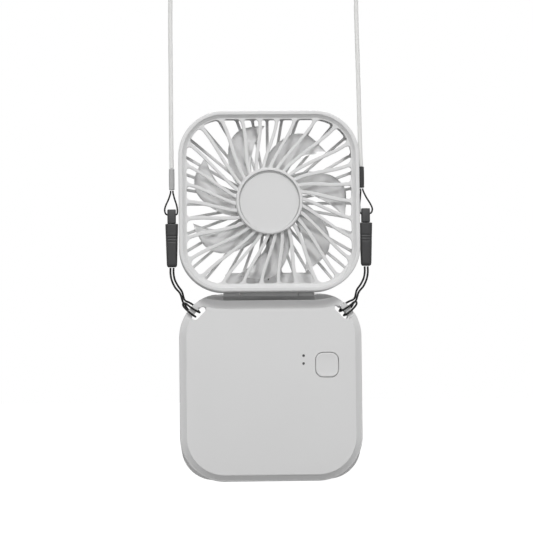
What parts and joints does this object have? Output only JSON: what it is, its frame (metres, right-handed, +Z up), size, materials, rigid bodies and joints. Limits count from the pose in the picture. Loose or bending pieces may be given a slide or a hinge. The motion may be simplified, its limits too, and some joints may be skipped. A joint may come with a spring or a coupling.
{
  "type": "foldable mini fan",
  "caption": "Foldable mini fan on a neck lanyard: a square swirl-grille fan head hinged to a flat square battery base, which hangs from a looped cord with two buckles.",
  "frame": {"origin": "crown of the neck cord's centreline, where the fan hangs from a neck or a hook", "axes": "+Z up along the opened fan, -Y out of the grille's front, +X to the right seen from the front"},
  "size_m": [0.1101, 0.0244, 0.3045],
  "materials": {
    "shell": "fine matt light grey-white ABS",
    "blade": "glossy white ABS",
    "black": "black nylon and black braided thin cord",
    "grey": "grey nylon sleeve",
    "cord": "white braided polyester",
    "steel": "nickel-plated steel",
    "bronze": "sintered bronze",
    "copper": "enamelled copper windings on laminated steel",
    "magnet": "bonded ferrite",
    "board": "green solder mask on glass-filled board",
    "foil": "aluminium pouch foil",
    "clear": "dark acrylic",
    "lead": "soft PVC sheath"
  },
  "bodies": {
    "base": {"base_front_cover": "shell", "base_back_cover": "shell", "battery": "foil", "circuit_board": "board", "usb_c_socket": "steel", "push_switch": "steel", "light_guide": "clear", "base_screw_1": "steel", "base_screw_2": "steel", "base_screw_3": "steel", "base_screw_4": "steel", "hinge_pin_left": "steel", "hinge_pin_right": "steel", "motor_lead_base": "lead", "neck_cord": "cord", "cord_sleeve_left": "grey", "cord_sleeve_right": "black", "upper_loop_left": "black", "upper_loop_right": "black", "buckle_upper_left": "black", "buckle_upper_right": "black", "buckle_lower_left": "black", "buckle_lower_right": "black", "lower_loop_left": "black", "lower_loop_right": "black"},
    "power_button": {"power_button": "shell"},
    "head": {"front_grille": "shell", "hub_cap": "shell", "rear_cover": "shell", "motor_stator": "copper", "motor_board": "board", "bearing_sleeve": "bronze", "friction_sleeve_left": "bronze", "friction_sleeve_right": "bronze", "head_screw_left": "steel", "head_screw_right": "steel", "motor_lead_head": "lead"},
    "impeller": {"impeller": "blade", "rotor_ring": "steel", "magnet_ring": "magnet", "motor_shaft": "steel", "shaft_retainer": "steel"}
  },
  "joints": [
    {"name": "head_hinge", "type": "hinge", "parent": "base", "child": "head", "pos_m": [0, 0.0104, -0.2069], "axis": [-1, 0, 0], "range_deg": [-22, 180]},
    {"name": "impeller_spin", "type": "hinge", "parent": "head", "child": "impeller", "pos_m": [0, 0, -0.1575], "axis": [0, 1, 0], "continuous": true},
    {"name": "power_button_press", "type": "slide", "parent": "base", "child": "power_button", "axis": [0, 1, 0], "range_m": [0, 0.0005], "stiffness_N_per_m": 2000}
  ]
}
